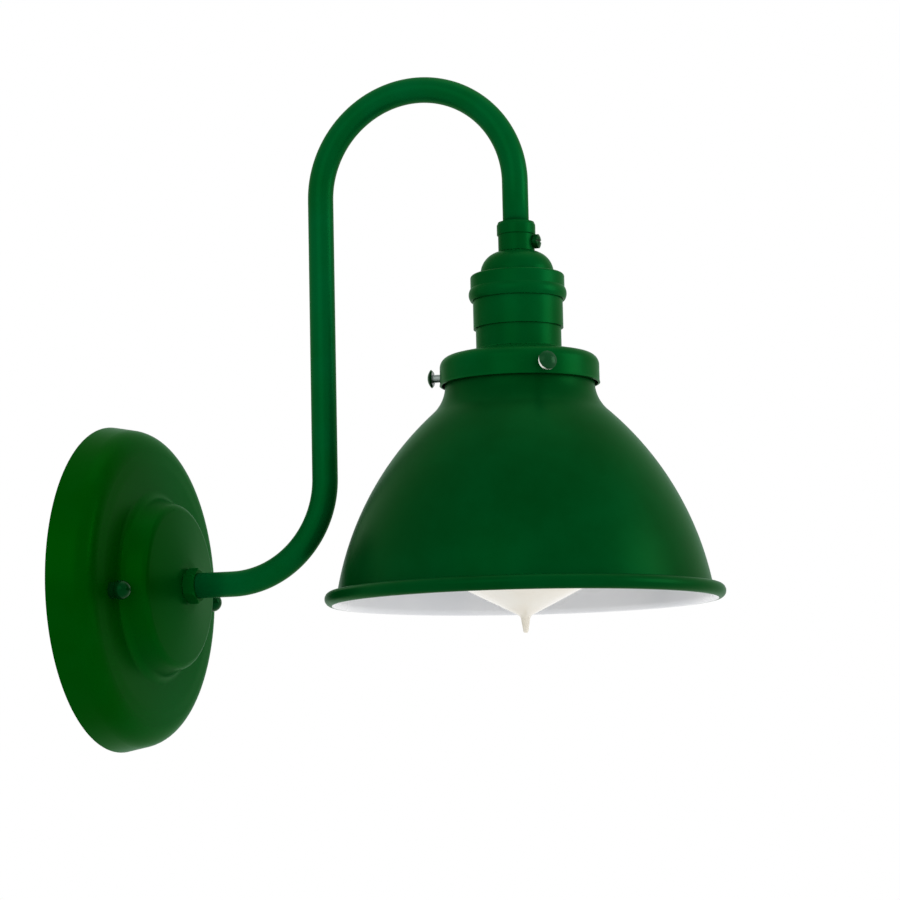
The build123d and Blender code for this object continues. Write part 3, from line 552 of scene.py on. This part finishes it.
def make_thumbscrews():
    """Screws with a bare steel shank and a painted domed head."""
    shank_start, face, edge = SHADE_NECK_R + THUMB_TIP_GAP, HOLDER_R + THUMB_STAND, THUMB_HEAD_EDGE
    dome_r = (THUMB_HEAD_R ** 2 + (THUMB_HEAD_THICK - edge) ** 2) / (2 * (THUMB_HEAD_THICK - edge))
    half = degrees(asin(THUMB_HEAD_R / dome_r))
    crown = arc((0, face + THUMB_HEAD_THICK - dome_r), dome_r, 90, 90 - half, CROWN_STEPS)
    outline = [(0, shank_start), (THUMB_R - THUMB_POINT, shank_start),
               (THUMB_R, shank_start + THUMB_POINT), (THUMB_R, face),
               (THUMB_HEAD_R - edge, face), (THUMB_HEAD_R, face + edge)] + crown[::-1][1:]
    zones = [1, 1, 1, 1] + [0] * (len(outline) - 4)
    for side, angle in THUMB_ANGLES.items():
        screw = spun("thumbscrew_" + side + "_turned", "thumbscrew_" + side, outline,
                     sideways(angle, THUMB_Z), zones, steps=SCREW_STEPS)
        paint(screw, front_screw_lit_green if side == "front" else hardware_green, bare_steel)
        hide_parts("thumbscrew_" + side)


# ---- Stage, light and camera ------------------------------------------------------------------
def make_floor():
    """Pale floor well below the fixture. It only glows where the camera or a reflection sees it."""
    bm = bmesh.new()
    bmesh.ops.create_grid(bm, x_segments=8, y_segments=8, size=FLOOR_HALF)
    bmesh.ops.translate(bm, verts=bm.verts, vec=(0, 0, FLOOR_Z))
    mesh = bpy.data.meshes.new("floor")
    bm.to_mesh(mesh)
    bm.free()
    floor = bpy.data.objects.new("floor", mesh)
    bpy.context.scene.collection.objects.link(floor)
    f = Finish("floor_white")
    base = f.node("ShaderNodeBsdfDiffuse", Color=FLOOR_GREY)
    glow = f.node("ShaderNodeEmission", Color=(1, 1, 1, 1), Strength=FLOOR_GLOW)
    rays = f.node("ShaderNodeLightPath")
    seen = f.maths("MAXIMUM", f.value(rays, "Is Camera Ray"), f.value(rays, "Is Glossy Ray"))
    lit = f.node("ShaderNodeAddShader", _0=f.value(base), _1=f.value(glow))
    mixed = f.node("ShaderNodeMixShader", _0=seen, _1=f.value(base), _2=f.value(lit))
    f.node("ShaderNodeOutputMaterial", Surface=f.value(mixed))
    paint(floor, f.material)


def make_world(level):
    """White surroundings: full white where seen, reflected or looked through, and a set level as light."""
    world = bpy.data.worlds.new("studio")
    bpy.context.scene.world = world
    world.use_nodes = True
    tree = world.node_tree
    tree.nodes.clear()
    rays = tree.nodes.new("ShaderNodeLightPath")
    soft, pale = tree.nodes.new("ShaderNodeBackground"), tree.nodes.new("ShaderNodeBackground")
    soft.inputs["Color"].default_value = (1, 1, 1, 1)
    soft.inputs["Strength"].default_value = level
    pale.inputs["Color"].default_value = (1, 1, 1, 1)
    pale.inputs["Strength"].default_value = 1.0
    glossy, through = tree.nodes.new("ShaderNodeMath"), tree.nodes.new("ShaderNodeMath")
    glossy.operation = through.operation = "MAXIMUM"
    mixed, out = tree.nodes.new("ShaderNodeMixShader"), tree.nodes.new("ShaderNodeOutputWorld")
    tree.links.new(rays.outputs["Is Camera Ray"], glossy.inputs[0])
    tree.links.new(rays.outputs["Is Glossy Ray"], glossy.inputs[1])
    tree.links.new(glossy.outputs[0], through.inputs[0])
    tree.links.new(rays.outputs["Is Transmission Ray"], through.inputs[1])
    tree.links.new(through.outputs[0], mixed.inputs[0])
    tree.links.new(soft.outputs[0], mixed.inputs[1])
    tree.links.new(pale.outputs[0], mixed.inputs[2])
    tree.links.new(mixed.outputs[0], out.inputs[0])


def softbox(name, place, aim, width, height, power):
    """Rectangular studio light, aimed at a point. Metres and watts."""
    light = bpy.data.lights.new(name, "AREA")
    light.shape = "RECTANGLE"
    light.size, light.size_y, light.energy = width, height, power
    holder = bpy.data.objects.new(name, light)
    holder.location = place
    holder.rotation_euler = (Vector(aim) - Vector(place)).to_track_quat("-Z", "Y").to_euler()
    bpy.context.scene.collection.objects.link(holder)


def make_camera():
    """Camera at the photograph's angle: turned round, from below and tilted, and aimed beside the fixture."""
    azimuth, elevation, roll = radians(-71.064), radians(-6.96), radians(-1.229)
    aim, distance = Vector((0.13592, -0.09867, 0.07063)), 1.2594
    back = Vector((sin(azimuth) * cos(elevation), -cos(azimuth) * cos(elevation), sin(elevation)))
    right = (-back).cross(Vector((0, 0, 1))).normalized()
    up = right.cross(-back)
    turned_right = right * cos(roll) + up * sin(roll)
    turned_up = up * cos(roll) - right * sin(roll)
    camera = bpy.data.objects.new("camera", bpy.data.cameras.new("camera"))
    camera.data.lens, camera.data.sensor_width = 112.0, 36.0
    camera.data.clip_end = 50
    turn = Matrix((turned_right, turned_up, back)).transposed().to_4x4()
    camera.matrix_world = Matrix.Translation(aim + back * distance) @ turn
    bpy.context.scene.collection.objects.link(camera)
    bpy.context.scene.camera = camera


make_arm_tube()
make_shade()
make_thumbscrews()
make_floor()
make_world(level=0.92)
light_aim = (0.0, -0.12, 0.06)
softbox("key", (0.20, -1.5, 0.30), light_aim, width=0.7, height=0.9, power=8.0)
softbox("fill", (-1.3, -0.1, 0.5), light_aim, width=0.9, height=0.9, power=3.0)
softbox("top", (0.1, -0.3, 1.4), light_aim, width=0.8, height=0.8, power=1.5)
make_camera()

scene = bpy.context.scene
scene.view_settings.view_transform = "Standard"
